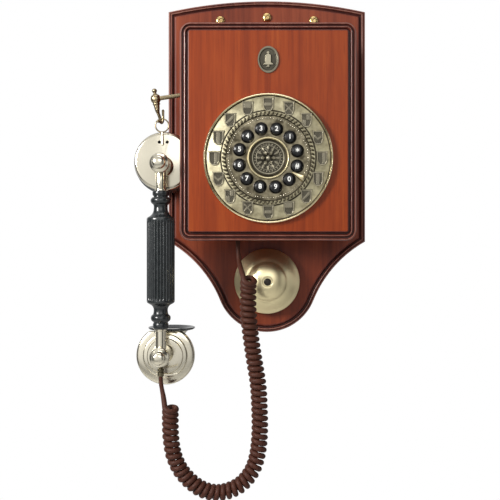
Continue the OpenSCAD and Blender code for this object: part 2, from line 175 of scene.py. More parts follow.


# %% [markdown]
# ## Lacquered mahogany
# The boards are stained and lacquered. The grain runs up the board: long soft streaks, short
# dark pores, and a slow change of tone from one place to the next. A clear coat on top gives the
# polish. The mouldings are darker and get their own finish. Their grooves are darker still, which
# is painted shade, and the bead tops are lighter, which is a painted highlight.


# %% Wood finishes
def wood(name, light, mid, dark, coat=0.05):
    light, mid, dark = linear(*light), linear(*mid), linear(*dark)
    material, tree, principled, space = start(name, Roughness=0.42, Coat_Weight=coat,
                                              Coat_Roughness=0.2, Specular_IOR_Level=0.22)
    streaks = noise(tree, space, 190, 6, 0.6, (1, 1, 0.035))
    figure = noise(tree, space, 26, 4, 0.55, (1, 1, 0.22))
    pores = noise(tree, space, 1500, 2, 0.5, (1, 1, 0.0245))
    tone = calculate(tree, "MULTIPLY", calculate(tree, "ADD", streaks, figure), 0.5)
    colour = ramp(tree, tone, [(0.34, dark), (0.5, mid), (0.66, light)])
    in_pores = ramp(tree, pores, [(0.3, (0.55, 0.55, 0.55, 1)), (0.42, (0, 0, 0, 1))])
    tree.links.new(mix(tree, colour, dark, in_pores), principled.inputs["Base Color"])
    bump(tree, principled, streaks, 0.06, 0.0004)
    return material


panel_wood = wood("panel mahogany", (150, 70, 28), (133, 55, 19), (108, 41, 13))
board_wood = wood("board mahogany", (134, 66, 42), (116, 53, 33), (88, 39, 26))
moulding_wood = wood("moulding stain", (116, 62, 48), (98, 48, 38), (74, 34, 28), 0.35)
# Painted shade: the grooves of the mouldings get a much darker wood colour, standing for the shade in them.
groove_shade_wood = wood("groove painted shade", (74, 32, 24), (58, 24, 19), (40, 16, 13), 0.2)
# Painted highlight: the bead tops get a pale greyish wood colour, as if they caught the light.
bead_highlight_wood = wood("bead painted highlight", (158, 118, 104), (136, 94, 82), (104, 62, 52), 0.5)
block_wood = wood("plain pine", (206, 168, 118), (188, 148, 98), (160, 116, 70), 0.0)
print("wood finishes:", len(bpy.data.materials))

# %% [markdown]
# ## Antique brass
# Antique brass is plated, darkened, then rubbed back: high places are pale and bright, low places
# keep the dark patina. Where a mesh has relief, it carries its height as an attribute and the
# finish reads it. Plain turned pieces only get a soft cloudiness and fine brushing.


# %% Metal finishes
def metal(name, light, dark, rough=0.3, cloud=14, patina=0.35, relief=False, metallic=1.0):
    material, tree, principled, space = start(name, Metallic=metallic)
    clouds = noise(tree, space, cloud, 5, 0.6)
    fine = noise(tree, space, 900, 3, 0.55)
    worn = ramp(tree, clouds, [(0.36, (patina,) * 3 + (1,)), (0.62, (0, 0, 0, 1))])
    if relief:
        height = add(tree, "ShaderNodeAttribute", attribute_name="relief").outputs["Fac"]
        low = ramp(tree, height, [(0.3, (1, 1, 1, 1)), (0.95, (0, 0, 0, 1))])
        worn = mix(tree, worn, low, 0.8)
    colour = mix(tree, linear(*light), linear(*dark), worn)
    dress(tree, principled, colour, fine, rough - 0.07, rough + 0.1, 0.03, 0.0001)
    return material


antique = metal("antique brass", (228, 221, 201), (180, 172, 148), 0.17, 14, 0.2)
# Darker brass for the hook. On the hanging ring's loop it is painted shade, darker than the ring's own stem.
hook_brass = metal("dark brass and painted loop shade", (172, 156, 126), (84, 72, 52), 0.26, 60, 0.6)
rope_brass = metal("dial rope brass", (176, 166, 138), (58, 52, 40), 0.34, 60, 0.5, True, 0.8)
relief_brass = metal("dial relief brass", (158, 151, 130), (26, 24, 20), 0.38, 60, 0.5, True, 0.8)
dial_brass = metal("dial ground brass", (200, 192, 158), (122, 114, 90), 0.45, 90, 0.8, False, 0.5)
dark_brass = metal("dark plate brass", (136, 128, 106), (56, 51, 41), 0.36, 110, 0.9)
pale_brass = metal("bell brass", (240, 226, 182), (212, 198, 154), 0.36, 10, 0.3)
bright_brass = metal("polished brass", (240, 226, 186), (186, 160, 104), 0.16, 20, 0.25)
screw_brass = metal("screw brass", (216, 186, 128), (132, 100, 56), 0.24, 60, 0.4)
groove_brass = metal("blackened brass groove", (74, 69, 58), (34, 31, 26), 0.45, 90, 0.8)
steel = metal("zinc plated steel", (196, 198, 202), (128, 130, 134), 0.32, 30, 0.3)
dark_steel = metal("blackened steel", (70, 66, 62), (28, 26, 25), 0.35, 60, 0.5)
print("wood and metal finishes:", len(bpy.data.materials))

# %% [markdown]
# ## Plastics, rubber and the cord's cover
# The handset is turned black resin: glossy, with faint dust and buffing marks. The cord is a
# brown covered wire, a little rougher and duller, with a finer grain.


# %% Plastic finishes
def plastic(name, colour, other, rough, coat=0.0, scale=300, depth=0.00005, shine=0.5):
    material, tree, principled, space = start(name, Coat_Weight=coat, Coat_Roughness=0.08,
                                              Specular_IOR_Level=shine)
    grain = noise(tree, space, scale, 4, 0.6)
    tint = ramp(tree, grain, [(0.35, linear(*colour)), (0.65, linear(*other))])
    dress(tree, principled, tint, grain, rough - 0.05, rough + 0.08, 0.15, depth)
    return material


grip_black = plastic("turned black resin", (27, 30, 32), (38, 42, 43), 0.24, 0.2, 300, 0.00001)
button_black = plastic("button black", (8, 8, 9), (12, 12, 13), 0.16, 0.0, 500, 0.000002)
inner_black = plastic("moulded black", (34, 34, 36), (48, 48, 50), 0.55)
board_green = plastic("circuit board green", (26, 78, 48), (34, 92, 56), 0.4, 0.3, 200)
mat_grey = plastic("silicone rubber", (168, 168, 164), (188, 188, 184), 0.6)
coil_tape = plastic("coil tape", (176, 92, 34), (196, 110, 46), 0.35)
ink = plastic("button figures", (246, 246, 242), (236, 236, 230), 0.5)
cord_brown = plastic("brown cord cover", (62, 36, 28), (80, 49, 39), 0.5, 0.0, 700, 0.0001, 0.2)
print("all finishes:", len(bpy.data.materials))

# %% [markdown]
# ## Making meshes
# Most pieces here are turned on a lathe, moulded along an edge, or bent from rod. So three makers
# do most of the work: `lofted` skins a list of rings, `turned` spins a profile, and `swept` runs
# a round section along a path. A last helper marks sharp edges, so that shading stays smooth
# round a curve and crisp at a corner.


# %% Edges and finished meshes
FLAT_AREA = 40e-6  # square metres: only true flats are larger


def crisp(bm, sharp):
    """Smooth shading, with sharp edges at corners and all round each large flat."""
    for edge in bm.edges:
        edge.smooth = len(edge.link_faces) == 2 and edge.calc_face_angle(0) < math.radians(sharp)
    for face in bm.faces:
        face.smooth = True
        if face.calc_area() > FLAT_AREA:
            for edge in face.edges:
                edge.smooth = edge.smooth and edge.calc_face_angle(0) < math.radians(0.5)


def as_piece(name, data, materials=()):
    """Puts a mesh or a text curve in the scene as a piece of its own."""
    for material in materials:
        data.materials.append(material)
    piece = bpy.data.objects.new(name, data)
    scene.collection.objects.link(piece)
    return piece


def from_bmesh(name, bm, materials):
    data = bpy.data.meshes.new(name)
    bm.to_mesh(data)
    bm.free()
    return as_piece(name, data, materials)


def finish_mesh(name, bm, materials, sharp=38):
    bmesh.ops.remove_doubles(bm, verts=bm.verts, dist=1e-7)
    bmesh.ops.recalc_face_normals(bm, faces=bm.faces)
    crisp(bm, sharp)
    return from_bmesh(name, bm, materials)


# %% Skinning rings and turning on a lathe
def lofted(name, rings, materials, closed_loop=False, caps=True, slots=None, sharp=38):
    """Skins rings of equal length. slots gives a material index for each band between rings."""
    bm = bmesh.new()
    count = len(rings[0])
    grid = [[bm.verts.new(Vector(p) * MM) for p in ring] for ring in rings]
    bands = len(rings) if closed_loop else len(rings) - 1
    for i in range(bands):
        a, b = grid[i], grid[(i + 1) % len(rings)]
        for k in range(count):
            j = (k + 1) % count
            face = bm.faces.new((a[k], a[j], b[j], b[k]))
            face.material_index = slots[i] if slots else 0
    if caps and not closed_loop:
        bm.faces.new(grid[0])
        bm.faces.new(reversed(grid[-1])).material_index = slots[-1] if slots else 0
    return finish_mesh(name, bm, materials, sharp)


def turned(name, profile, centre, materials, upright=False, sides=96, closed_loop=False, flutes=None):
    """Spins [radius, distance] points. Distance is out from the wall, or up for upright pieces."""
    rings = []
    for radius, along in profile:
        ring = []
        for k in range(sides):
            a = TAU * k / sides
            r = radius
            if flutes and flutes["low"] <= along <= flutes["high"]:
                r -= flutes["depth"] * (0.5 - 0.5 * math.cos(a * flutes["count"])) ** 2
            x, other = r * math.cos(a), r * math.sin(a)
            if upright:
                ring.append((centre[0] + x, centre[1] + other, along))
            else:
                ring.append((centre[0] + x, -along, centre[2] + other))
        rings.append(ring)
    poles = profile[0][0] == 0 and profile[-1][0] == 0
    return lofted(name, rings, materials, closed_loop, caps=not poles)


# %% Paths and rods
def smooth_path(points, steps):
    """A Catmull-Rom curve through given points."""
    points = [Vector(p) for p in points]
    out = []
    for i in range(len(points) - 1):
        a, b = points[max(i - 1, 0)], points[i]
        c, d = points[i + 1], points[min(i + 2, len(points) - 1)]
        for k in range(steps):
            t = k / steps
            out.append(0.5 * (2 * b + (c - a) * t + (2 * a - 5 * b + 4 * c - d) * t * t
                              + (3 * b - a - 3 * c + d) * t ** 3))
    return out + [points[-1]]


def swept(name, path, radii, materials, sides=16, sharp=60):
    """A round section run along a path, with a radius for each point. The frame is carried
    along without twisting."""
    rings, side = [], None
    for i, point in enumerate(path):
        ahead = (path[min(i + 1, len(path) - 1)] - path[max(i - 1, 0)]).normalized()
        if side is None:
            side = ahead.orthogonal().normalized()
        side = (side - ahead * side.dot(ahead)).normalized()
        across = ahead.cross(side)
        ring = []
        for k in range(sides):
            a = TAU * k / sides
            ring.append(point + radii[i] * (side * math.cos(a) + across * math.sin(a)))
        rings.append(ring)
    return lofted(name, rings, materials, sharp=sharp)


def arc(cx, cz, r, start_angle, end_angle, steps):
    out = []
    for i in range(steps + 1):
        a = math.radians(start_angle + (end_angle - start_angle) * i / steps)
        out.append((cx + r * math.cos(a), cz + r * math.sin(a)))
    return out


# %% Placing and joining pieces
def place(piece, body, slot, *replaced):
    """Rides a piece on its body and says which CAD nodes it stands for. The slot argument is not used."""
    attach(piece, body)
    if replaced:
        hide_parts(*replaced)
    print("made", piece.name, "with", len(piece.data.polygons), "faces")
    return piece


def joined(name, pieces):
    """Joins several meshes into the first one, keeping their finishes."""
    bm = bmesh.new()
    materials = []
    for piece in pieces:
        offset = {}
        for i, material in enumerate(piece.data.materials):
            if material not in materials:
                materials.append(material)
            offset[i] = materials.index(material)
        first = len(bm.faces)
        bm.from_mesh(piece.data)
        bm.faces.ensure_lookup_table()
        for face in bm.faces[first:]:
            face.material_index = offset.get(face.material_index, 0)
        bpy.data.objects.remove(piece)
    return from_bmesh(name, bm, materials)


# %% Cutting and drilling
def evaluated_mesh(piece):
    bpy.context.view_layer.update()
    return bpy.data.meshes.new_from_object(piece.evaluated_get(bpy.context.evaluated_depsgraph_get()))


def applied(piece):
    """Turns the evaluated piece into a plain mesh and takes its modifiers off."""
    made = evaluated_mesh(piece)
    piece.modifiers.clear()
    piece.data = made
    return piece


def cut_away(piece, tool):
    """Takes the tool's volume out of the piece, and then the tool out of the scene."""
    cut = piece.modifiers.new("cut", "BOOLEAN")
    cut.operation, cut.solver, cut.object = "DIFFERENCE", "EXACT", tool
    applied(piece)
    bpy.data.objects.remove(tool)


def block(centre, size, tilt=0.0):
    """A block to cut with, in millimetres, tilted by some degrees as seen from the front."""
    bm = bmesh.new()
    bmesh.ops.create_cube(bm, size=1, matrix=Matrix.Translation(Vector(centre) * MM)
                          @ Matrix.Rotation(math.radians(tilt), 4, "Y")
                          @ Matrix.Diagonal((*(side * MM for side in size), 1)))
    return finish_mesh("block", bm, [])


DRILL_LENGTH = 0.3  # metres, so that it always goes right through


def drilled(piece, holes):
    """Cuts round holes, given as (x, z, radius), straight through from front to back."""
    for x, z, radius in holes:
        bm = bmesh.new()
        bmesh.ops.create_cone(bm, cap_ends=True, segments=48, radius1=radius * MM, radius2=radius * MM,
                              depth=DRILL_LENGTH, matrix=Matrix.Translation((x * MM, 0, z * MM))
                              @ Matrix.Rotation(math.pi / 2, 4, "X"))
        cut_away(piece, finish_mesh("drill", bm, []))
    bm = bmesh.new()
    bm.from_mesh(piece.data)
    crisp(bm, 38)
    bm.to_mesh(piece.data)
    bm.free()
    return piece


def raised(profile, face):
    """Moves a lathe profile out from the wall, so that its heights start at a face."""
    return [(radius, face + height) for radius, height in profile]


# %% [markdown]
# ## Geometry Nodes: one piece, many times round a circle
# Beads, strands of rope and collars all sit round a circle. One tree makes them all: a
# circle of points, an instance at each, turned to face outwards if asked, stood up to face the
# room, and made real at the end, because exported files can't hold instances.


# %% The circle tree
def circle_tree():
    tree = bpy.data.node_groups.new("round a circle", "GeometryNodeTree")
    sockets = [("Count", "NodeSocketInt"), ("Circle radius", "NodeSocketFloat"),
               ("First direction", "NodeSocketFloat"), ("Turn outwards", "NodeSocketFloat"),
               ("Centre", "NodeSocketVector"), ("Item", "NodeSocketObject"),
               ("Finish", "NodeSocketMaterial")]
    for name, kind in sockets:
        tree.interface.new_socket(name, in_out="INPUT", socket_type=kind)
    tree.interface.new_socket("Mesh", in_out="OUTPUT", socket_type="NodeSocketGeometry")
    given = tree.nodes.new("NodeGroupInput").outputs
    ring = add(tree, "GeometryNodeMeshCircle", {"Vertices": given["Count"],
                                                "Radius": given["Circle radius"]})
    turn = calculate(tree, "MULTIPLY", add(tree, "GeometryNodeInputIndex").outputs[0], TAU)
    turn = calculate(tree, "DIVIDE", turn, given["Count"])
    turn = calculate(tree, "ADD", turn, given["First direction"])
    turn = calculate(tree, "MULTIPLY", turn, given["Turn outwards"])
    rotation = add(tree, "ShaderNodeCombineXYZ", {"Z": turn}).outputs[0]
    first = add(tree, "ShaderNodeCombineXYZ", {"Z": given["First direction"]}).outputs[0]
    spun = add(tree, "GeometryNodeTransform", {"Geometry": ring.outputs[0], "Rotation": first})
    item = add(tree, "GeometryNodeObjectInfo", {"Object": given["Item"]})
    many = add(tree, "GeometryNodeInstanceOnPoints", {"Points": spun.outputs[0],
               "Instance": item.outputs["Geometry"], "Rotation": rotation})
    real = add(tree, "GeometryNodeRealizeInstances", {0: many.outputs[0]})
    stood = add(tree, "GeometryNodeTransform", {"Geometry": real.outputs[0], "Translation": given["Centre"],
                                                "Rotation": (math.pi / 2, 0, 0)})
    painted = add(tree, "GeometryNodeSetMaterial", {"Geometry": stood.outputs[0],
                                                    "Material": given["Finish"]})
    out = tree.nodes.new("NodeGroupOutput")
    tree.links.new(painted.outputs[0], out.inputs[0])
    return tree


round_circle = circle_tree()
print("circle tree:", len(round_circle.nodes), "nodes")


# %% Copies round a circle
def repeated(name, item, count, radius, centre, material, first=0.0, outwards=1.0):
    """Copies item round a circle that faces the room. Sizes in millimetres, angles in degrees."""
    piece = as_piece(name, bpy.data.meshes.new(name))
    modifier = piece.modifiers.new("round a circle", "NODES")
    modifier.node_group = round_circle
    values = {"Count": count, "Circle radius": radius * MM, "First direction": math.radians(first),
              "Turn outwards": outwards, "Centre": Vector(centre) * MM, "Item": item, "Finish": material}
    for socket in round_circle.interface.items_tree:
        if socket.in_out == "INPUT":
            modifier[socket.identifier] = values[socket.name]
    applied(piece)
    if piece.data.materials[:] != [material]:
        piece.data.materials.clear()
        piece.data.materials.append(material)
    bpy.data.objects.remove(item)
    return piece


# %% [markdown]
# ## The backboard
# A router has run round the board's edge: a round-over, a bead, a dark groove, and then the raised
# field. That is one section followed round one outline, so the outline is drawn again at each
# step of the section, a little further in, and the rings are skinned.

# %% Backboard outline
board_low, board_high = span("backboard")
board_half, board_front = board_high.x, -board_low.y
ARCH_TOP = 62.0
SHOULDER = 50.6
LOBE_Z = -233.4
LOBE_R = 53.0
WAIST_R = 125.0
SWEEP = 22.0


def board_outline(inset):
    rise = ARCH_TOP - SHOULDER
    arch_r = (board_half ** 2 + rise ** 2) / (2 * rise)
    cx = (LOBE_R + WAIST_R) * math.cos(math.radians(SWEEP))
    cz = LOBE_Z - (LOBE_R + WAIST_R) * math.sin(math.radians(SWEEP))
    r = WAIST_R + inset
    half = board_half - inset
    top = math.degrees(math.asin(half / (arch_r - inset)))
    corner_z = cz + math.sqrt(r * r - (cx - half) ** 2)
    corner = math.degrees(math.atan2(corner_z - cz, half - cx))
    right = arc(cx, cz, r, 180 - SWEEP, corner, 20)
    left = [(-x, z) for x, z in reversed(right)]
    lobe = arc(0, LOBE_Z, LOBE_R - inset, 180 + SWEEP, 360 - SWEEP, 36)
    return arc(0, ARCH_TOP - arch_r, arch_r - inset, 90 - top, 90 + top, 36) + left + lobe[1:-1] + right


# %% Backboard section
def moulded(name, outline, front, steps, field):
    """Skins one outline at each step of a section: (distance in from the edge, depth, finish). The finish is
    field wood, moulding stain, painted shade in a groove, or a painted highlight on a bead.
    """
    rings = [[(x, front + depth, z) for x, z in outline(inset)] for inset, depth, _ in steps]
    return lofted(name, rings, [field, moulding_wood, groove_shade_wood, bead_highlight_wood],
                  slots=[stain for _, _, stain in steps], sharp=50)


# The last entry of each step picks its finish: field wood, moulding stain, painted shade in the grooves, or a
# painted highlight on the bead tops.
PLAIN, MOULDED, GROOVE_SHADE, BEAD_HIGHLIGHT = 0, 1, 2, 3
BOARD_STEPS = [(0.6, board_front, MOULDED), (0, board_front - 0.6, MOULDED), (0, 3.6, MOULDED),
               (0.3, 2.2, BEAD_HIGHLIGHT), (1.0, 1.4, MOULDED), (1.9, 1.2, GROOVE_SHADE), (2.3, 1.9, MOULDED),
               (2.6, 0.9, MOULDED), (3.2, 0.4, BEAD_HIGHLIGHT), (3.9, 0.7, MOULDED), (4.3, 1.5, GROOVE_SHADE),
               (4.7, 2.5, GROOVE_SHADE), (5.6, 2.8, GROOVE_SHADE), (6.3, 2.3, MOULDED), (6.7, 1.0, MOULDED),
               (7.3, 0.2, MOULDED), (8.2, 0.0, PLAIN)]
board = moulded("backboard_moulded", board_outline, -board_front, BOARD_STEPS, board_wood)
WALL_HOLE_X, WALL_HOLE_R = 30, 2.6
drilled(board, [(-WALL_HOLE_X, 0, WALL_HOLE_R), (WALL_HOLE_X, 0, WALL_HOLE_R)])
place(board, "wall_unit", "board_wood", "backboard")

# %% [markdown]
# ## The front panel
# The panel's edge has two beads with a groove between them, then a raised field whose corners are
# nearly square. The dial's tray sits in a round hole behind the dial.

# %% Front panel
panel_low, panel_high = span("front_panel")
PANEL_CORNER = 10.5
PANEL_STEPS = [(0.4, 12.0, MOULDED), (0, 11.4, MOULDED), (0, 5.2, MOULDED), (0.3, 4.0, MOULDED),
               (0.9, 3.2, BEAD_HIGHLIGHT), (1.5, 3.1, MOULDED), (2.1, 3.7, GROOVE_SHADE), (2.4, 4.8, GROOVE_SHADE),
               (3.2, 5.0, GROOVE_SHADE), (3.8, 4.4, MOULDED), (4.0, 3.2, MOULDED), (4.5, 2.2, BEAD_HIGHLIGHT),
               (5.1, 2.0, MOULDED), (5.7, 2.4, MOULDED), (6.1, 3.6, GROOVE_SHADE), (6.7, 4.4, GROOVE_SHADE),
               (7.7, 4.4, GROOVE_SHADE), (8.1, 3.6, MOULDED), (8.2, 0.9, MOULDED), (8.5, 0.2, MOULDED),
               (9.2, 0.0, PLAIN)]


def panel_outline(inset):
    r = max(PANEL_CORNER - inset, 0.8)
    x, top, low = panel_high.x - inset - r, panel_high.z - inset - r, panel_low.z + inset + r
    return (arc(x, top, r, 0, 90, 10) + arc(-x, top, r, 90, 180, 10)
            + arc(-x, low, r, 180, 270, 10) + arc(x, low, r, 270, 360, 10))


panel = moulded("front_panel_moulded", panel_outline, panel_low.y, PANEL_STEPS, panel_wood)
dial = middle("dial_plate")
DIAL_HOLE_R = 50
drilled(panel, [(0, dial.z, DIAL_HOLE_R)])
place(panel, "wall_unit", "panel_wood", "front_panel")

# %% [markdown]
# ## The three screws at the top of the board
# Round-head brass screws with a slot, all turned the same way. A head is a small lathe piece whose
# slot is a notch cut by a thin block.

# %% Board screws
SCREW_PLACES = ((-49, 40.6), (0, 44), (49, 40.6))
HEAD_R = 5.0
HEAD = [(0, -1), (HEAD_R, -1), (HEAD_R, 0.4), (4.6, 1.4), (3.8, 2.2), (2.4, 2.75), (0, 2.95)]
heads = []
for x, z in SCREW_PLACES:
    head = turned("screw_head", raised(HEAD, board_front), (x, 0, z), [screw_brass], sides=40)
    cut_away(head, block((x, -(board_front + 2.8), z), (12, 2.4, 1.1), -45))
    heads.append(head)
place(joined("slotted_screws", heads), "wall_unit", "screw_brass", "board_screws")

# %% [markdown]
# ## The badge
# A small cast badge: an oval plate with a raised border, and a plain bell in relief. Its shape is
# a height drawn over an oval grid of points.


# %% Relief helper
def relief_disc(name, height, radius, centre, base, material, stretch, rings_n, sides, skirt=0.6):
    """A disc facing the room whose surface rises by height(r, angle) millimetres.
    The relative height is stored for the finish."""
    bm = bmesh.new()
    layer = bm.verts.layers.float.new("relief")
    values = [[height(radius * i / rings_n, TAU * k / sides) for k in range(sides)]
              for i in range(rings_n + 1)]
    low = min(min(v) for v in values)
    tall = max(max(v) for v in values) - low or 1.0

    def vert(i, k, h, shade):
        r, a = radius * i / rings_n, TAU * k / sides
        x, z = centre[0] + r * math.cos(a), centre[2] + stretch * r * math.sin(a)
        v = bm.verts.new(Vector((x, -(base + h), z)) * MM)
        v[layer] = shade
        return v

    middle_vert = vert(0, 0, values[0][0], (values[0][0] - low) / tall)
    grid = [[vert(i, k, values[i][k], (values[i][k] - low) / tall) for k in range(sides)]
            for i in range(1, rings_n + 1)]
    back = [vert(rings_n, k, -skirt, 0.0) for k in range(sides)]
    for k in range(sides):
        j = (k + 1) % sides
        bm.faces.new((middle_vert, grid[0][k], grid[0][j]))
        for i in range(rings_n - 1):
            bm.faces.new((grid[i][k], grid[i + 1][k], grid[i + 1][j], grid[i][j]))
        bm.faces.new((grid[-1][k], back[k], back[j], grid[-1][j]))
    bm.faces.new(back)
    return finish_mesh(name, bm, [material], 50)


def step(edge, value, soft):
    """A smooth step from 0 to 1 as value passes edge."""
    t = max(0.0, min(1.0, (value - edge) / soft + 0.5))
    return t * t * (3 - 2 * t)


# %% Badge
badge_mid = middle("emblem")
panel_face = -panel_low.y
BADGE_STRETCH = 1.27


def badge_height(r, a):
    x, z = r * math.cos(a), BADGE_STRETCH * r * math.sin(a)
    up = (z + 5.2) / 11.0
    bell = 0.0
    if 0 <= up <= 1:
        wide = 5.6 - 2.6 * step(0.12, up, 0.24) - 2.2 * step(0.92, up, 0.2)
        bell = 1.3 * step(0, wide - abs(x), 1.3)
    knob = sum(step(0, 1.5 - math.hypot(x, z - centre), 0.8) for centre in (6.8, -6.4))
    dish = 0.7 * step(8.4, r, 1.2)
    return 0.5 + max(bell, knob, dish)


badge = relief_disc("badge_plate", badge_height, 10.2, badge_mid, panel_face + 0.2, relief_brass,
                    BADGE_STRETCH, 60, 160)
place(badge, "wall_unit", "emblem_brass", "emblem")


# %% [markdown]
# ## The dial's outer ring
# The ring is turned: a flat ground, then a thin bright rim. Sixteen upright shields stand on it.
# They aren't turned to follow the circle, so all have their points down. Each has a raised border
# and one of eight plain divisions, in the way that simple flags are divided.

# %% Dial ring and rim
dial_r = span("dial_ring")[1].x
ground_height = 3.0
ground = panel_face + ground_height


def dial_part(name, profile, face, material, sides):
    """A ring turned about the dial's middle, with its heights taken from a face."""
    return turned(name, raised(profile, face), (0, 0, dial.z), [material], sides=sides, closed_loop=True)


ring = dial_part("dial_ring_turned", [(41, -3), (dial_r - 1.4, -3), (dial_r - 1.4, -0.6), (dial_r - 2.2, 0),
                                      (46, 0), (45.2, 0.5), (41, 0.5)], ground, dial_brass, 160)
place(ring, "wall_unit", "dial_brass", "dial_ring")
rim = dial_part("rim", [(dial_r - 2.4, -1), (dial_r, -2.9), (dial_r, 0.6), (dial_r - 0.5, 1.6),
                        (dial_r - 1.2, 2.0), (dial_r - 1.9, 1.5), (dial_r - 2.3, 0.4)], ground,
                bright_brass, 160)
rim_groove = dial_part("rim_groove", [(dial_r - 3.3, -0.2), (dial_r - 2.2, -0.2), (dial_r - 2.2, 0.35),
                                      (dial_r - 3.3, 0.1)], ground, groove_brass, 160)
place(joined("dial_rim", [rim, rim_groove]), "wall_unit", "bright_brass")

# %% Shields
SHIELD_HALF, SHIELD_UP, SHIELD_DOWN = 6.0, 6.7, 7.4
DIVISIONS = [lambda x, z: x > 0, lambda x, z: z > 0, lambda x, z: x * z > 0, lambda x, z: abs(x) < 1.5,
             lambda x, z: abs(z) < 1.6, lambda x, z: abs(z - abs(x) + 2) < 1.3,
             lambda x, z: abs(x - z) < 1.6, lambda x, z: abs(abs(x) - abs(z)) < 1.1]


def shield_half_width(z):
    waisted = SHIELD_HALF - 0.75 + 0.75 * step(0.8, z / SHIELD_UP, 0.5)
    if z > -1.0:
        return waisted
    drop = (-1.0 - z) / (SHIELD_DOWN - 1.0)
    return waisted * math.sqrt(max(0.0, 1 - drop ** 1.8))


# %% Shield relief
def shield_mesh(bm, layer, cx, cz, base, division):
    """A relief shield on a fine grid: the grid's sides follow the shield's outline."""
    columns, rows = 22, 26
    waves = 0.2
    grid = []
    for i in range(rows + 1):
        z = -SHIELD_DOWN + (SHIELD_UP + SHIELD_DOWN) * i / rows
        half = max(shield_half_width(z), 0.05)
        row = []
        for k in range(columns + 1):
            x = half * (2 * k / columns - 1)
            edge = min(half - abs(x), SHIELD_UP - z, (z + SHIELD_DOWN) * 0.8)
            border = step(0.15, edge, 0.3) * (1 - step(1.25, edge, 0.3))
            field = step(1.5, edge, 0.3) * (0.34 if division(x, z) else 0.06)
            ripple = math.sin(3.4 * x + 2 * division(x, z)) * math.sin(2.9 * z)
            field += waves * step(1.5, edge, 0.3) * ripple
            h = 0.3 * step(0, edge, 0.2) + 0.75 * border + field
            v = bm.verts.new(Vector((cx + x, -(base + h), cz + z)) * MM)
            v[layer] = min(1.0, h / 1.05)
            row.append(v)
        grid.append(row)
    for i in range(rows):
        for k in range(columns):
            bm.faces.new((grid[i][k], grid[i][k + 1], grid[i + 1][k + 1], grid[i + 1][k]))
    rim_verts = (grid[0] + [row[-1] for row in grid[1:]] + grid[-1][-2::-1]
                 + [row[0] for row in grid[-2:0:-1]])
    back = [bm.verts.new((v.co.x, -(base - 0.2) * MM, v.co.z)) for v in rim_verts]
    for k, v in enumerate(rim_verts):
        j = (k + 1) % len(rim_verts)
        bm.faces.new((v, back[k], back[j], rim_verts[j]))
    bm.faces.new(back)


# %% Sixteen shields
SHIELDS, SHIELD_CIRCLE = 16, 52.2
bm = bmesh.new()
relief_layer = bm.verts.layers.float.new("relief")
for i in range(SHIELDS):
    a = TAU * i / SHIELDS
    shield_mesh(bm, relief_layer, SHIELD_CIRCLE * math.cos(a), dial.z + SHIELD_CIRCLE * math.sin(a), ground,
                DIVISIONS[(i * 5) % len(DIVISIONS)])
shields = finish_mesh("dial_shields_cast", bm, [relief_brass], 50)
place(shields, "wall_unit", "dial_brass", "dial_shields")

# %% [markdown]
# ## The rope border
# Inside the shields a rope runs round the dial. A rope in relief is a row of slanted, plump
# strands, so one strand is modelled and Geometry Nodes sets 68 of them round the circle.

# %% Rope
STRANDS, ROPE_CIRCLE, ROPE_SLANT = 68, 43.1, -38
bm = bmesh.new()
bmesh.ops.create_uvsphere(bm, u_segments=12, v_segments=8, radius=1,
                          matrix=Matrix.Rotation(math.radians(ROPE_SLANT), 4, "Z")
                          @ Matrix.Diagonal((0.0024, 0.0011, 0.0015, 1)))
rope = repeated("rope_border", finish_mesh("strand", bm, []), STRANDS, ROPE_CIRCLE,
                (0, -(ground + 0.9), dial.z), rope_brass)
core = dial_part("rope_groove", [(41.0, -0.2), (46.8, -0.2), (46.8, 0.3), (45.6, 0.45), (44.6, 0.35),
                                 (41.9, 0.4), (41.5, 1.2), (41.0, 1.1)], ground, groove_brass, 144)
place(joined("rope_ring_cast", [rope, core]), "wall_unit", "dial_dark_brass", "rope_ring")

# %% [markdown]
# ## The inner plate, collars and medallion
# The plate has a hole for each button, and a thin dark collar round each hole. In the middle is
# a bright ring with a rosette in relief: petals in two rows inside a band of beads.

# %% Plate relief
plate_face = panel_face + 4.0
BUTTONS, BUTTON_CIRCLE, FIRST_BUTTON = 12, 28.9, 14.0
BEADS, BEAD_CIRCLE, BEAD_R = 96, 38.6, 0.62
COLLAR_PROFILE = [(5.97, -0.3), (6.7, -0.3), (6.6, 0.35), (6.3, 0.5), (6.0, 0.35)]
collar = turned("collar", COLLAR_PROFILE, (0, 0, 0), [], sides=40, closed_loop=True)
collar.data.transform(Matrix.Rotation(-math.pi / 2, 4, "X"))
collars = repeated("button_collars", collar, BUTTONS, BUTTON_CIRCLE, (0, -plate_face, dial.z), dark_steel,
                   FIRST_BUTTON)
place(collars, "wall_unit", "dial_dark_brass")
bm = bmesh.new()
bmesh.ops.create_uvsphere(bm, u_segments=10, v_segments=6, radius=BEAD_R * MM)
rim_beads = repeated("plate_beads", finish_mesh("bead", bm, []), BEADS, BEAD_CIRCLE,
                     (0, -(plate_face + 0.1), dial.z), antique)
place(rim_beads, "wall_unit", "dial_dark_brass")


# %% Medallion and its ring
def rosette(r, a):
    band = 0.9 * step(14.6, r, 0.4) * (1 - step(15.9, r, 0.4))
    beads = 0.8 * step(0.1, math.cos(30 * a), 0.5) * step(0, 0.85 - abs(r - 13.2), 0.6)
    outer = 0.8 * step(0.35, 0.45 + 0.5 * math.cos(12 * a) - abs(r - 9.4) / 4.2, 0.5)
    inner = 0.95 * step(0.35, 0.5 + 0.5 * math.cos(6 * a) - abs(r - 5.2) / 3.4, 0.5)
    ring = 0.7 * step(0, 0.5 - abs(r - 11.7), 0.4)
    button = 1.2 * math.sqrt(max(0.0, 1 - (r / 2.1) ** 2))
    veins = 0.16 * math.cos(48 * a + 3 * r) * step(2.4, r, 0.4) * (1 - step(11, r, 0.6))
    return 0.4 + max(band, beads, outer, inner, ring, button) + veins


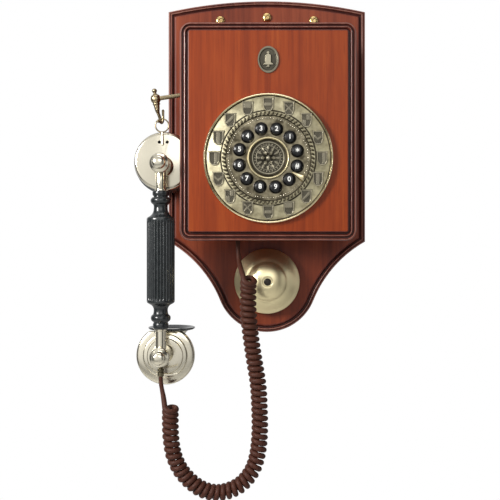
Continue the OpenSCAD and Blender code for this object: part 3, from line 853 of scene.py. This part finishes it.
MEDALLION_R = 16.6
boss = relief_disc("rosette_medallion", rosette, MEDALLION_R, (0, 0, dial.z), plate_face, relief_brass,
                   1.0, 70, 240)
place(boss, "wall_unit", "dial_dark_brass", "medallion")
halo = dial_part("halo", [(18.3, -0.2), (20.9, -0.2), (20.8, 0.8), (20.4, 1.6), (19.9, 2.3), (19.4, 2.4),
                          (18.9, 2.1), (18.4, 1.0)], plate_face, pale_brass, 128)
halo_groove = dial_part("halo_groove", [(16.7, -0.2), (18.5, -0.2), (18.5, 0.7), (17.5, 0.5), (17.0, 0.9),
                                        (16.7, 0.8)], plate_face, groove_brass, 128)
place(joined("medallion_ring_turned", [halo, halo_groove]), "wall_unit", "dial_brass", "medallion_ring")

# %% [markdown]
# ## The finger stop
# A bright stop like a wedge points in between two buttons. It widens outwards and its top has a
# slight ridge, so it is skinned from a few flat sections along its length.

# %% Finger stop
STOP_ANGLE = math.radians(-30.5)
STOP_SECTIONS = [(27, 0.5, 0.6), (27.6, 0.9, 1.6), (31, 1.5, 2.4), (35, 2.4, 2.8), (38.6, 3.2, 3.0),
                 (40.2, 3.1, 2.2)]
rings = []
for reach, half, rise in STOP_SECTIONS:
    outline = [(-half, -0.2), (-half, 0.4 * rise), (-0.7 * half, 0.85 * rise), (0, rise),
               (0.7 * half, 0.85 * rise), (half, 0.4 * rise), (half, -0.2)]
    rings.append([(reach * math.cos(STOP_ANGLE) - s * math.sin(STOP_ANGLE), -(plate_face + h),
                   dial.z + reach * math.sin(STOP_ANGLE) + s * math.cos(STOP_ANGLE)) for s, h in outline])
stop = lofted("finger_stop_wedge", rings, [bright_brass])
place(stop, "wall_unit", "bright_brass", "finger_stop")

# %% [markdown]
# ## Figures on the push buttons
# Each button is a polished black dome with a light figure on it. The figures are flat text turned
# into a mesh, laid just on the dome. They ride on the buttons, so they go in when pressed.

# %% Button figures
FIGURES = {**{digit: digit for digit in "1234567890"}, "hash": "#", "star": "*"}
FIGURE_SIZE, STAR_SIZE, STAR_DROP = 6.6, 8.4, 1.3
THICKNESS = 0.12


def figure(name, text, size, x, z, front):
    """Flat text made into a mesh that faces the room."""
    curve = bpy.data.curves.new("figure", "FONT")
    curve.body, curve.size, curve.extrude, curve.offset = text, size * MM, THICKNESS * MM, THICKNESS * MM
    curve.align_x, curve.align_y, curve.resolution_u = "CENTER", "CENTER", 4
    written = as_piece("written", curve)
    data = evaluated_mesh(written)
    bpy.data.objects.remove(written)
    data.transform(Matrix.Translation((x * MM, -front * MM, z * MM)) @ Matrix.Rotation(math.pi / 2, 4, "X"))
    data.materials.clear()
    return as_piece(name, data, [ink])


for key, text in FIGURES.items():
    at, front = middle("button_" + key), -span("button_" + key)[0].y
    size, drop = (STAR_SIZE, STAR_DROP) if text == "*" else (FIGURE_SIZE, 0)
    written = figure("figure_" + key, text, size, at.x, at.z - drop, front + 0.02)
    place(written, "push_" + key, "button_black")

# %% [markdown]
# ## The bell
# A gong is spun from sheet: a domed crown, a shallow valley, then a flare that ends in a rolled
# lip. Its profile is the same all round, so it is turned, with enough steps to shine smoothly.

# %% Bell gong
bell = middle("bell_gong")
gong_r = span("bell_gong")[1].x
OUTSIDE = [(gong_r, 23.2), (gong_r - 0.1, 23.9), (gong_r - 0.6, 24.5), (31.8, 26.0), (30.0, 28.2),
           (28.0, 30.9), (25.8, 34.0), (24.0, 36.3), (22.6, 37.7), (21.4, 38.6), (20.5, 39.4), (19.7, 40.6),
           (18.8, 42.6), (17.2, 44.9), (15.0, 46.8), (12.0, 48.4), (9.0, 49.3), (6.6, 49.8), (5.4, 49.85),
           (4.9, 49.5), (4.7, 48.5), (2.2, 48.4)]
INSIDE = [(2.2, 46.9), (6.6, 48.2), (10.6, 47.1), (14.6, 45.0), (17.2, 42.1), (18.6, 38.9), (20.6, 37.1),
          (21.8, 36.6), (24.0, 33.8), (27.0, 29.6), (30.2, 25.4), (32.2, 23.1)]
gong = turned("bell_gong_spun", OUTSIDE + INSIDE, bell, [pale_brass], sides=160, closed_loop=True)
place(gong, "wall_unit", "bell_brass", "bell_gong")

# %% [markdown]
# ## The hook
# One cast and polished lever: a straight arm, a bulb with a small finial above it, and a tapered
# drop that turns up into a crook. The handset's ring hangs on the peg at the crook's foot.
# The drop is a rod whose radius changes along the way, so it is swept with a radius per point.


# %% Rods that change in thickness
def tapered(name, points, radii, material, steps=6, sides=24):
    """A rod through given points, with a radius at each of them."""
    path = smooth_path(points, steps)
    spread = [r.x for r in smooth_path([(r, 0, 0) for r in radii], steps)]
    return swept(name, path, [max(r, 0.05) for r in spread], [material], sides)


# %% Hook
PIVOT = Vector((-40, -50, -37))
BULB = Vector((-112.6, -50, -48))
BULB_FULLNESS = 1.12
arm = tapered("arm", [PIVOT, PIVOT.lerp(BULB, 0.5), PIVOT.lerp(BULB, 0.97)], [1.75, 2.0, 2.2], hook_brass)
down = Vector((0.15, 0, -1)).normalized()
finial_and_bulb = [(-10.6, 0.1), (-10.2, 1.2), (-9.0, 2.1), (-7.8, 2.2), (-6.6, 1.7), (-5.8, 1.3),
                   (-5.0, 1.9), (-4.2, 2.5), (-3.4, 3.6), (-1.8, 4.3), (0, 4.5), (1.8, 4.3), (3.4, 3.5),
                   (4.4, 2.9), (5.0, 3.3), (5.8, 3.3), (6.4, 2.7), (9.5, 2.4), (12, 2.0)]
crook = [((-110.3, -48.2, -62), 1.7), ((-109.0, -46.6, -66), 1.55), ((-108.3, -46, -69.6), 1.5),
         ((-107.4, -46, -71.3), 1.5), ((-106.2, -45.9, -70.4), 1.4), ((-105.7, -45.6, -67.4), 1.3),
         ((-105.7, -45.0, -62.5), 1.2), ((-105.8, -44.6, -58.8), 1.3), ((-105.8, -44.5, -57.6), 0.3)]
pendant = tapered("pendant", [BULB + down * along for along, _ in finial_and_bulb] + [at for at, _ in crook],
                  [BULB_FULLNESS * r for _, r in finial_and_bulb] + [r for _, r in crook], hook_brass, 5)
peg = tapered("peg", [(-107.4, -45.6, -71.3), (-108.4, -50.5, -71.3), (-109.2, -54.4, -71.3),
                      (-109.4, -55.6, -71.3), (-109.6, -56.8, -71.3), (-109.7, -57.2, -71.3)],
              [1.2, 1.2, 1.25, 1.6, 1.1, 0.2], hook_brass, 5, 18)
hub = turned("hub", [(2.1, 46), (5, 46), (5, 52), (2.1, 52)], PIVOT, [hook_brass], sides=48,
             closed_loop=True)
tail = tapered("tail", [PIVOT + Vector(way) for way in ((4, 0, 0.6), (6, 0, 0.9), (8.5, 0, 1.3))],
               [1.4, 1.4, 1.3], hook_brass, 3)
place(joined("hook_lever_cast", [arm, pendant, peg, hub, tail]), "hook", "fittings_brass", "hook_arm")

# %% [markdown]
# ## The handset's ends
# The ear end is a black turned cap with a brass cover. A boss stands out of the cover and holds
# the upright stem, and a round knob closes it. The ring on the cover's stem hangs on the hook.

# %% Ear cap and cover
HAND_X, HAND_Y, EAR_Z, EAR_KNOB_Z = -105.0, -72.0, -110.5, -116.0
CAP = [(0, 23.4), (8, 23.2), (14, 22.6), (20, 21.2), (24, 20.4), (27.4, 20.0), (29.4, 20.2), (30.8, 21.2),
       (31.5, 22.8), (31.6, 25), (31.6, 29.4), (31.3, 31), (30.6, 32.2), (30.2, 33.4), (30.4, 35), (30.6, 37),
       (30.6, 41.2), (30.2, 42), (27.6, 42), (27.6, 27), (0, 27)]
COVER = [(0, 47), (24, 46), (26.4, 42), (29.6, 42), (29.8, 43), (29.6, 46), (29.2, 48), (28.5, 49.2),
         (27.6, 49.8), (26.4, 50), (0, 50)]
HOLE_R, HOLE_CIRCLE = 1.6, 8
cap = turned("ear_cap_turned", CAP, (HAND_X, 0, EAR_Z), [grip_black], sides=120)
sound_holes = [(HAND_X, EAR_Z, HOLE_R)]
for i in range(6):
    a = TAU * i / 6
    sound_holes.append((HAND_X + HOLE_CIRCLE * math.cos(a), EAR_Z + HOLE_CIRCLE * math.sin(a), HOLE_R))
drilled(cap, sound_holes)
place(cap, "handset", "handset_black", "ear_cap")
cover = turned("ear_cover_turned", COVER, (HAND_X, 0, EAR_Z), [antique], sides=120)
drilled(cover, [(HAND_X + side, -91.4, HOLE_R) for side in (-4, 4)])
place(cover, "handset", "fittings_brass", "ear_cover")


# %% Bosses and stems
BOSS = [(0, 50.1), (10.4, 50.1), (10.3, 51.2), (9.5, 52.4), (8.8, 54), (8.7, 58), (8.7, 80.6), (8.9, 81.8),
        (9.5, 82.6), (9.7, 83.8), (9.5, 85), (8.6, 86), (7.0, 86.8), (6.4, 87.4), (6.6, 88.6), (6.7, 90.4),
        (6.4, 92.4), (5.6, 94.1), (4.2, 95.1), (2.2, 95.6), (0, 95.7)]


def grip_turned(name, profile, material, sides, closed_loop=False, flutes=None):
    """A piece turned about the grip's own upright axis."""
    return turned(name, profile, (HAND_X, HAND_Y, 0), [material], True, sides, closed_loop, flutes)


fittings = [turned(name, BOSS, (HAND_X, 0, z), [antique], sides=80)
            for name, z in (("ear_boss", EAR_KNOB_Z), ("mouth_boss", -303.6))]
fittings += [grip_turned(*piece) for piece in (
    ("upper_stem", [(0, -118), (4.9, -118), (4.9, -139.8), (5.5, -140.6), (5.5, -141.9), (0, -141.9)],
     antique, 56),
    ("lower_stem", [(0, -300), (5.2, -300), (5.2, -279), (5.9, -278.4), (5.9, -277.4), (0, -277.4)],
     antique, 56),
    ("cord_post", [(0, -319.4), (2.6, -319.4), (3.3, -318), (3.3, -316.4), (2.4, -315.4), (3.0, -313),
                   (3.0, -308), (0, -308)], dark_brass, 40),
    ("grip_rod", [(0, -277.4), (3, -277.4), (3, -141.9), (0, -141.9)], steel, 32))]
bosses = joined("handset_fittings", fittings)
place(bosses, "handset", "fittings_brass", "handset_frame")

# %% Hanging ring
RING_MID = Vector((-106, -51.5, -74.95))
LOOP_R, LOOP_WIRE_R = 6.65, 0.7
section = [TAU * i / 14 for i in range(14)]
# Painted shade: the loop takes the darker hook brass while its stem keeps the antique brass of the same ring.
loop = turned("ring_loop", [(LOOP_R + LOOP_WIRE_R * math.cos(a), -RING_MID.y + LOOP_WIRE_R * math.sin(a))
                            for a in section], RING_MID, [hook_brass], sides=72, closed_loop=True)
stem = tapered("ring_stem", [(-106, -51.5, -81.8), (-105.9, -51.5, -84), (-105.6, -51.5, -90),
                             (-105.5, -51.5, -94.2)], [1.3, 1.35, 1.4, 1.35], antique, 4)
place(joined("hanging_ring_cast", [loop, stem]), "handset", "fittings_brass", "hanging_ring")

# %% [markdown]
# ## The grip
# The grip is one turned piece with beads and coves at its ends. Its long middle is fluted: a
# rounded cutter has run down it, once for each flute. So the lathe's radius is eased in by a
# narrow cosine at each flute, and only between the shoulders.

# %% Grip
GRIP_R, FLUTE_TOP, FLUTE_LOW, FLUTES, FLUTE_DEPTH = 13.7, -171.2, -249.2, 26, 0.95
upper_turning = [(3.05, -142.1), (6.6, -142.1), (7.7, -142.5), (8.1, -143.4), (8.1, -145.8), (7.7, -146.8),
                 (6.9, -147.4), (7.0, -148), (8.6, -148.9), (9.7, -150.2), (10, -151.7), (9.7, -153.2),
                 (8.8, -154.5), (7.6, -155.3), (6.9, -156.4), (6.8, -158.6), (7.0, -160.9), (7.6, -163.2),
                 (8.8, -165.2), (10.6, -166.9), (12.4, -167.9), (13.2, -168.5), (13.6, -169.3),
                 (GRIP_R, -170.4)]
lower_turning = [(GRIP_R, -250.0), (13.5, -250.9), (12.8, -251.7), (11.2, -252.6), (9.2, -253.7),
                 (7.8, -255.2), (7.0, -257.2), (6.9, -259.4), (7.2, -261.6), (7.6, -262.8), (8.9, -263.8),
                 (9.6, -265.1), (9.8, -266.5), (9.5, -268), (8.6, -269.3), (7.2, -270.3), (6.9, -270.9),
                 (7.4, -271.6), (7.7, -272.6), (7.7, -275.2), (7.3, -276.5), (6.4, -277.2), (3.05, -277.2)]
straight = [FLUTE_TOP, -172.4] + [-174 - 8 * i for i in range(10)] + [-248.2, FLUTE_LOW]
grip = grip_turned("handset_grip_fluted", upper_turning + [(GRIP_R, z) for z in straight] + lower_turning,
                   grip_black, FLUTES * 10, True,
                   {"low": FLUTE_LOW + 0.1, "high": FLUTE_TOP - 0.1, "depth": FLUTE_DEPTH, "count": FLUTES})
place(grip, "handset", "handset_black", "handset_grip")

# %% [markdown]
# ## The mouthpiece
# A stepped brass disc carries an elbow behind it, and the elbow turns up into a horn whose black
# lip faces the speaker. The disc and the horn are turned, and the elbow is swept round its bend.

# %% Mouthpiece profiles
MOUTH_X, MOUTH_Z = -103.5, -307.0
HORN = Vector((-98.4, -30, 0))
LIP_DROP, NOTCH_LOW = 2.2, -282.4
DISC = [(0, 38), (20, 38.2), (27, 39), (29.2, 40.2), (29.7, 41.4), (29.6, 42.6), (28.8, 43.8), (27.4, 44.4),
        (24.2, 44.9), (22.6, 45.2), (22.1, 45.8), (21.8, 46.9), (21, 47.3), (19, 47.4), (18.3, 47.6),
        (18, 48.4), (17.4, 49.2), (16.2, 49.4), (12, 49.6), (0, 49.7)]
FLARE = [(0, -296), (11.2, -296), (11.3, -291), (12, -287.6), (13.6, -284.2), (15.6, -281.8), (17, -280.5),
         (14.6, -280.5), (12.4, -283.4), (10.8, -286.6), (9.4, -291), (9, -293.5), (0, -294)]
LIP = [(14, -280.1), (17.4, -280.1), (20, -279.8), (22.4, -279.2), (23.6, -278.4), (24, -277.7),
       (23.8, -277.1), (23.1, -276.9), (21.8, -277.2), (19.4, -278), (16.6, -278.9), (14.6, -279.5)]

# %% Mouthpiece
face_disc = turned("mouth_face", DISC, (MOUTH_X, 0, MOUTH_Z), [antique], sides=128)
cut_away(face_disc, block((-100, -45, NOTCH_LOW + 4), (80, 30, 8)))
bend = [(-99.6, -40, -301), (-99, -36, -301.6), HORN + Vector((0, -1.5, -301)), HORN + Vector((0, 0, -298)),
        HORN + Vector((0, 0, -293))]
elbow = tapered("elbow", bend, [11, 11.2, 11.2, 11.2, 11.1], antique, 6, 48)
flare = turned("flare", raised(FLARE, -LIP_DROP), HORN, [antique], True, 72)
place(joined("mouthpiece", [face_disc, elbow, flare]), "handset", "fittings_brass", "mouth_disc")

# %% Horn lip and cord saddle
lip = turned("horn_lip_turned", raised(LIP, -LIP_DROP), HORN, [grip_black], True, 96, True)
place(lip, "handset", "handset_black", "horn_lip")
bar = tapered("saddle_bar", [(-109.6, -72, -320.2), (-107, -72, -321.4), (-103, -72, -321.9),
                             (-97, -72, -321.9), (-91, -72, -321.4), (-88.4, -72, -320.4)],
              [0.9, 1.2, 1.3, 1.3, 1.2, 0.8], antique, 5, 16)
ferrule = grip_turned("cord_ferrule", [(2.3, -319.6), (3.3, -319.6), (3.4, -322.8), (2.9, -323.4),
                                       (2.3, -323.4)], dark_brass, 32, True)
place(joined("cord_saddle_formed", [bar, ferrule]), "handset", "fittings_brass", "cord_saddle")

# %% [markdown]
# ## The curly cord
# A covered wire leaves the case, winds into tight curls, hangs in a long loop, and leaves its
# last curl for the handset. The middle line of the whole cord is worked out first: plain leads
# at the ends, and between them a helix round the hanging curve. Then one round section is swept
# along it, a little thinner at the leads, where the wire isn't bunched up.

# %% The hanging curve
COIL_ROUTE = [(-18.3, -75, -226.6), (-19, -71, -230.2), (-19.5, -67.2, -237.6), (-19.3, -66, -261),
              (-17.1, -66, -284), (-13.6, -66, -308), (-9.8, -67, -332), (-8.4, -67, -356), (-8.2, -68, -380),
              (-10.6, -68, -402), (-17, -69, -419), (-30, -70, -432), (-49, -70, -438), (-67, -71, -433),
              (-83, -71, -419), (-91.7, -72, -402), (-95, -72, -384), (-95.6, -72.2, -368),
              (-95.4, -73.6, -357.6), (-94.9, -77.2, -350.4)]
CASE_LEAD = [(-30, -50, -184), (-30, -50.8, -196), (-29.2, -54, -207), (-27.8, -60, -215)]
HAND_LEAD = [(-102.2, -73.6, -343.5), (-103.8, -72.4, -336), (-104.8, -72, -330), (-105, -72, -323.5)]
WIRE_D, COIL_D, TURNS, PER_TURN, START_TURN = 5.5, 16.8, 57.5, 20, 0.5
HELIX_R = (COIL_D - WIRE_D) / 2
COIL_MARGIN = 2.4

centre_line = smooth_path(COIL_ROUTE, 16)
marks = [0.0]
for a, b in zip(centre_line, centre_line[1:]):
    marks.append(marks[-1] + (b - a).length)
coil_length = marks[-1]


# %% Curls along the curve
def along_route(distance):
    """Point and direction on the hanging curve at that distance from its top."""
    i = 0
    while i < len(marks) - 2 and marks[i + 1] < distance:
        i += 1
    t = (distance - marks[i]) / (marks[i + 1] - marks[i])
    before, after = centre_line[max(i - 1, 0)], centre_line[min(i + 2, len(centre_line) - 1)]
    return centre_line[i].lerp(centre_line[i + 1], t), (after - before).normalized()


helix = []
steps_total = int(TURNS * PER_TURN)
for i in range(steps_total + 1):
    point, ahead = along_route(COIL_MARGIN + (coil_length - 2 * COIL_MARGIN) * i / steps_total)
    side = ahead.cross(Vector((0, 1, 0))).normalized()
    across = side.cross(ahead)
    a = TAU * (i / PER_TURN + START_TURN)
    helix.append(point + HELIX_R * (side * math.cos(a) + across * math.sin(a)))
print("curls start at", [round(v, 1) for v in helix[0]], "and end at", [round(v, 1) for v in helix[-1]])
lead_in = smooth_path([*CASE_LEAD, helix[0], helix[2]], 6)[:-6]
lead_out = smooth_path([helix[-3], helix[-1], *HAND_LEAD], 6)[6:]
wire = lead_in[:-1] + helix + lead_out[1:]
wire_length = sum((b - a).length for a, b in zip(wire, wire[1:]))
print("cord length", round(wire_length), "mm, curls", TURNS)

# %% Cord
THIN = 0.8
wire_radii = [WIRE_D / 2 * (THIN + (1 - THIN) * step(0.7, i / len(lead_in), 0.5)
                            * step(0.7, (len(wire) - i) / len(lead_out), 0.5)) for i in range(len(wire))]
cord = swept("curly_cord", wire, wire_radii, [cord_brown], 10, 80)
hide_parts("cord_case_lead", "cord_coil", "cord_handset_lead")
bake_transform(cord)
print("cord faces:", len(cord.data.polygons))

# %% [markdown]
# ## Finishes for the CAD pieces that stay
# The case, its fixings and the works inside have the right shape already. They only need a finish.

# %% Finishes on CAD nodes
FINISHES = {
    board_wood: ["case_left", "case_right", "case_top", "case_bottom"],
    block_wood: ["corner_blocks", "panel_dowels"],
    dark_brass: ["dial_plate"],
    bright_brass: ["bell_striker"],
    steel: ["case_screws", "bell_post", "ringer_frame", "hook_bracket", "hook_pivot_pin", "hook_spring"],
    dark_steel: ["bell_screw"],
    inner_black: ["keypad_housing", "hook_switch", "line_jack", "receiver_capsule", "microphone_capsule",
                  "cord_gland"],
    board_green: ["keypad_board", "main_circuit_board"],
    mat_grey: ["keypad_mat"],
    coil_tape: ["ringer_coil"],
    button_black: ["button_" + key for key in FIGURES],
}
for material, names in FINISHES.items():
    for name in names:
        nodes[name].data.materials.clear()
        nodes[name].data.materials.append(material)
print("finished CAD nodes:", sum(len(names) for names in FINISHES.values()))

# %% [markdown]
# ## Studio
# The phone hangs in a plain white room, over a pale floor that lies well below it. What polished
# brass shows is the room, so the room is drawn for it: bright on the left and in front, dark on
# the right and below, with one thin bright strip far right that rims the edges. A key light on
# the left throws the shadows, and a weak fill opens them a little.

# %% Floor and lights
FLOOR_Z, FLOOR_HALF, FLOOR_NEAR, FLOOR_FAR = -0.95, 1.6, -1.8, 1.2
floor_data = bpy.data.meshes.new("floor")
floor_data.from_pydata([(-FLOOR_HALF, FLOOR_NEAR, FLOOR_Z), (FLOOR_HALF, FLOOR_NEAR, FLOOR_Z),
                        (FLOOR_HALF, FLOOR_FAR, FLOOR_Z), (-FLOOR_HALF, FLOOR_FAR, FLOOR_Z)], [],
                       [(0, 1, 2, 3)])
floor_paint, tree, shader, space = start("pale floor", Roughness=0.7)
pale = ramp(tree, noise(tree, space, 3), [(0.3, linear(232, 232, 230)), (0.7, linear(240, 240, 238))])
tree.links.new(pale, shader.inputs["Base Color"])
floor = as_piece("floor", floor_data, [floor_paint])


def softbox(name, spot, aim, wide, tall, power, tint=(1, 1, 1)):
    data = bpy.data.lights.new(name, "AREA")
    data.shape, data.size, data.size_y, data.energy, data.color = "RECTANGLE", wide, tall, power, tint
    light = bpy.data.objects.new(name, data)
    light.location = spot
    light.rotation_euler = (Vector(aim) - Vector(spot)).to_track_quat("-Z", "Y").to_euler()
    scene.collection.objects.link(light)


softbox("key", (-0.8, -0.7, 0.15), (-0.02, 0, -0.15), 0.3, 0.4, 14, (1.0, 0.985, 0.96))
softbox("fill", (0.3, -2.0, 0.5), (0, 0, -0.2), 1.2, 0.8, 5)
softbox("top", (0.0, -0.5, 1.4), (0, 0, -0.1), 1.2, 0.4, 5)

# %% The room in the reflections
room = bpy.data.worlds.new("room")
room.use_nodes = True
tree = room.node_tree
sky = tree.nodes["Background"]
way = add(tree, "ShaderNodeTexCoord").outputs["Generated"]
parts = add(tree, "ShaderNodeSeparateXYZ", {0: way}).outputs


def grey_ramp(factor, stops):
    return ramp(tree, factor, [(position, (value, value, value, 1)) for position, value in stops])


WHITE, DIM = (1, 1, 1, 1), (0.3, 0.3, 0.3, 1)
sides = grey_ramp(ranged(tree, parts["X"], 0, 1, -1),
                  [(0.0, 0.12), (0.1, 0.3), (0.2, 1.15), (0.4, 0.95), (0.52, 0.86), (0.68, 0.8), (0.82, 0.07),
                   (0.93, 0.1), (0.96, 0.9), (1.0, 0.3)])
levels = grey_ramp(ranged(tree, parts["Z"], 0, 1, -1),
                   [(0.0, 0.12), (0.3, 0.4), (0.44, 0.9), (0.62, 1.0), (0.8, 0.6), (1.0, 0.7)])
rays = add(tree, "ShaderNodeLightPath").outputs
soft = mix(tree, mix(tree, sides, levels, 1.0, "MULTIPLY"), DIM, rays["Is Diffuse Ray"])
shown = mix(tree, soft, WHITE, rays["Is Camera Ray"])
tree.links.new(shown, sky.inputs["Color"])
scene.world = room
print("lights:", len(bpy.data.lights))
